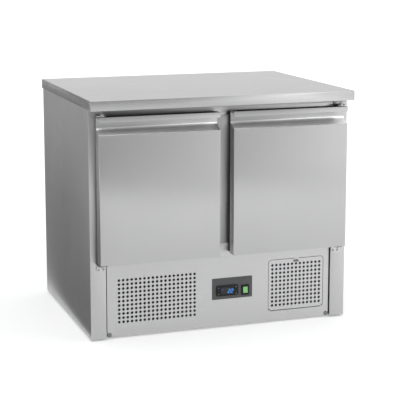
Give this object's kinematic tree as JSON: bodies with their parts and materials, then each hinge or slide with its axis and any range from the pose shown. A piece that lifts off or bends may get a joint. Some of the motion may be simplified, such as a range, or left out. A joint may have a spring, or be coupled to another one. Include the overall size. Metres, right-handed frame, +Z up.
{
  "type": "undercounter refrigerator",
  "caption": "Stainless undercounter refrigerator with full-width door grips, flat worktop, perforated base panel, front service hatch, temperature control and lit switch.",
  "frame": {"origin": "on the floor under the middle of the worktop", "axes": "+X to the right seen from the front, +Y from the doors to the back, +Z up"},
  "size_m": [0.9, 0.7, 0.786],
  "materials": {
    "stainless": "fine brushed stainless steel",
    "liner_stainless": "bright stainless lining sheet",
    "galvanised": "zinc-coated sheet",
    "foam": "rigid polyurethane foam",
    "board": "particle board",
    "gasket_rubber": "soft black seal",
    "bush_plastic": "natural nylon",
    "dark_plastic": "dark grey satin plastic",
    "black_plastic": "black plastic",
    "display": "smoked display window",
    "green_lens": "lit green rocker",
    "foot_steel": "zinc-plated steel",
    "coated_wire": "plastic-coated wire",
    "fins": "aluminium fins",
    "motor_black": "black painted steel",
    "fan_plastic": "black plastic fan",
    "copper": "bare copper"
  },
  "bodies": {
    "cabinet": {"base_front_panel": "stainless", "base_tray": "galvanised", "centre_mullion": "stainless", "compressor": "motor_black", "compressor_mounts": "gasket_rubber", "condenser_coil": "fins", "condenser_fan_motor": "motor_black", "control_plate": "dark_plastic", "controller_body": "black_plastic", "controller_display": "display", "electrical_box": "black_plastic", "evaporator_coil": "fins", "evaporator_cover": "liner_stainless", "evaporator_fan_motor": "motor_black", "fan_shroud": "galvanised", "frame_rails": "stainless", "hatch_hardware": "stainless", "hinge_brackets": "stainless", "hinge_pins": "stainless", "inner_liner": "liner_stainless", "insulation": "foam", "left_side_panel": "stainless", "machine_deck": "galvanised", "panel_fixings": "dark_plastic", "rear_grille": "galvanised", "rear_panel": "galvanised", "refrigerant_pipes": "copper", "right_side_panel": "stainless", "shelf_left": "coated_wire", "shelf_right": "coated_wire", "shelf_supports": "stainless", "switch_body": "black_plastic", "worktop_core": "board", "worktop_skin": "stainless"},
    "door_left": {"door_left_skin": "stainless", "door_left_handle": "stainless", "door_left_core": "foam", "door_left_liner": "liner_stainless", "door_left_gasket": "gasket_rubber", "door_left_bushes": "bush_plastic"},
    "door_right": {"door_right_skin": "stainless", "door_right_handle": "stainless", "door_right_core": "foam", "door_right_liner": "liner_stainless", "door_right_gasket": "gasket_rubber", "door_right_bushes": "bush_plastic"},
    "service_hatch": {"service_hatch": "stainless", "hatch_tab": "dark_plastic"},
    "switch_rocker": {"switch_rocker": "green_lens"},
    "condenser_fan": {"condenser_fan": "fan_plastic"},
    "evaporator_fan": {"evaporator_fan": "fan_plastic"},
    "button_up": {"button_up": "black_plastic"},
    "button_down": {"button_down": "black_plastic"},
    "button_set": {"button_set": "black_plastic"},
    "button_defrost": {"button_defrost": "black_plastic"},
    "foot_front_left": {"foot_front_left": "foot_steel"},
    "foot_front_right": {"foot_front_right": "foot_steel"},
    "foot_rear_left": {"foot_rear_left": "foot_steel"},
    "foot_rear_right": {"foot_rear_right": "foot_steel"}
  },
  "joints": [
    {"name": "door_left_hinge", "type": "hinge", "parent": "cabinet", "child": "door_left", "pos_m": [-0.41, -0.332, 0.26], "axis": [0, 0, -1], "range_deg": [0, 100]},
    {"name": "door_right_hinge", "type": "hinge", "parent": "cabinet", "child": "door_right", "pos_m": [0.41, -0.332, 0.26], "axis": [0, 0, 1], "range_deg": [0, 100]},
    {"name": "service_hatch_hinge", "type": "hinge", "parent": "cabinet", "child": "service_hatch", "pos_m": [0.2705, -0.2915, 0.0445], "axis": [1, 0, 0], "range_deg": [0, 85]},
    {"name": "switch_rocker_tilt", "type": "hinge", "parent": "cabinet", "child": "switch_rocker", "pos_m": [0.085, -0.2975, 0.1255], "axis": [1, 0, 0], "range_deg": [0, 12]},
    {"name": "condenser_fan_spin", "type": "hinge", "parent": "cabinet", "child": "condenser_fan", "pos_m": [0.2705, -0.172, 0.1135], "axis": [0, 1, 0], "continuous": true},
    {"name": "evaporator_fan_spin", "type": "hinge", "parent": "cabinet", "child": "evaporator_fan", "pos_m": [0, 0.219, 0.625], "axis": [0, 1, 0], "continuous": true},
    {"name": "button_up_press", "type": "slide", "parent": "cabinet", "child": "button_up", "axis": [0, 1, 0], "range_m": [0, 0.0006], "stiffness_N_per_m": 600},
    {"name": "button_down_press", "type": "slide", "parent": "cabinet", "child": "button_down", "axis": [0, 1, 0], "range_m": [0, 0.0006], "stiffness_N_per_m": 600},
    {"name": "button_set_press", "type": "slide", "parent": "cabinet", "child": "button_set", "axis": [0, 1, 0], "range_m": [0, 0.0006], "stiffness_N_per_m": 600},
    {"name": "button_defrost_press", "type": "slide", "parent": "cabinet", "child": "button_defrost", "axis": [0, 1, 0], "range_m": [0, 0.0006], "stiffness_N_per_m": 600},
    {"name": "foot_front_left_screw", "type": "slide", "parent": "cabinet", "child": "foot_front_left", "axis": [0, 0, -1], "range_m": [0, 0.012]},
    {"name": "foot_front_right_screw", "type": "slide", "parent": "cabinet", "child": "foot_front_right", "axis": [0, 0, -1], "range_m": [0, 0.012]},
    {"name": "foot_rear_left_screw", "type": "slide", "parent": "cabinet", "child": "foot_rear_left", "axis": [0, 0, -1], "range_m": [0, 0.012]},
    {"name": "foot_rear_right_screw", "type": "slide", "parent": "cabinet", "child": "foot_rear_right", "axis": [0, 0, -1], "range_m": [0, 0.012]}
  ]
}
